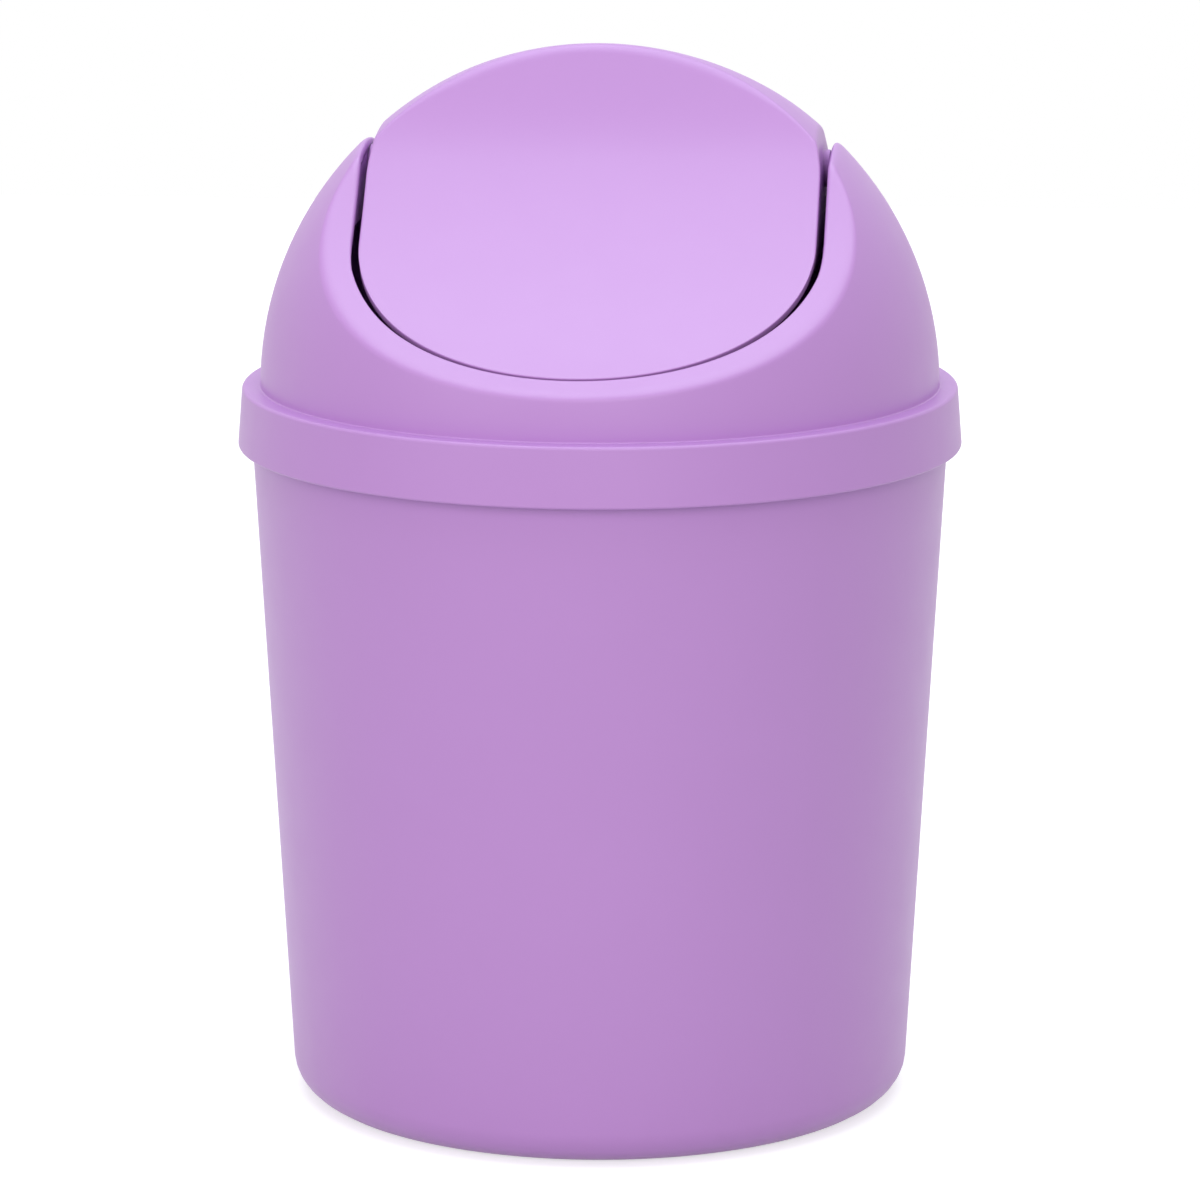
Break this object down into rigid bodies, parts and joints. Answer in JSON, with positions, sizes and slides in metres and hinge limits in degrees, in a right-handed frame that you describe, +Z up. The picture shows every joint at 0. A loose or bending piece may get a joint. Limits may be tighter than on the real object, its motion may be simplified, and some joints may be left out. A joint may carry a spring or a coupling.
{
  "type": "countertop trash can with swing lid",
  "caption": "Small round countertop trash can: tapered bucket, lift-off domed cover with scooped mouth and a rocking swing flap on moulded pins.",
  "frame": {"origin": "centre of the foot ring, on the surface that the can stands on", "axes": "+Z up; -Y towards the front, where the flap's lower edge dips; the swing axis lies along X through both ears"},
  "size_m": [0.14, 0.14, 0.2057],
  "materials": {
    "bucket_plastic": "satin injection-moulded polypropylene, lilac",
    "cover_plastic": "satin injection-moulded polypropylene, lilac",
    "flap_plastic": "satin injection-moulded polypropylene, lilac"
  },
  "bodies": {
    "bucket": {"bucket": "bucket_plastic"},
    "cover": {"domed_cover": "cover_plastic"},
    "flap": {"swing_flap": "flap_plastic"}
  },
  "joints": [
    {"name": "cover_lift", "type": "slide", "parent": "bucket", "child": "cover", "axis": [0, 0, 1], "range_m": [0, 0.08]},
    {"name": "flap_swing", "type": "hinge", "parent": "cover", "child": "flap", "pos_m": [0, 0, 0.18219], "axis": [1, 0, 0], "continuous": true}
  ]
}
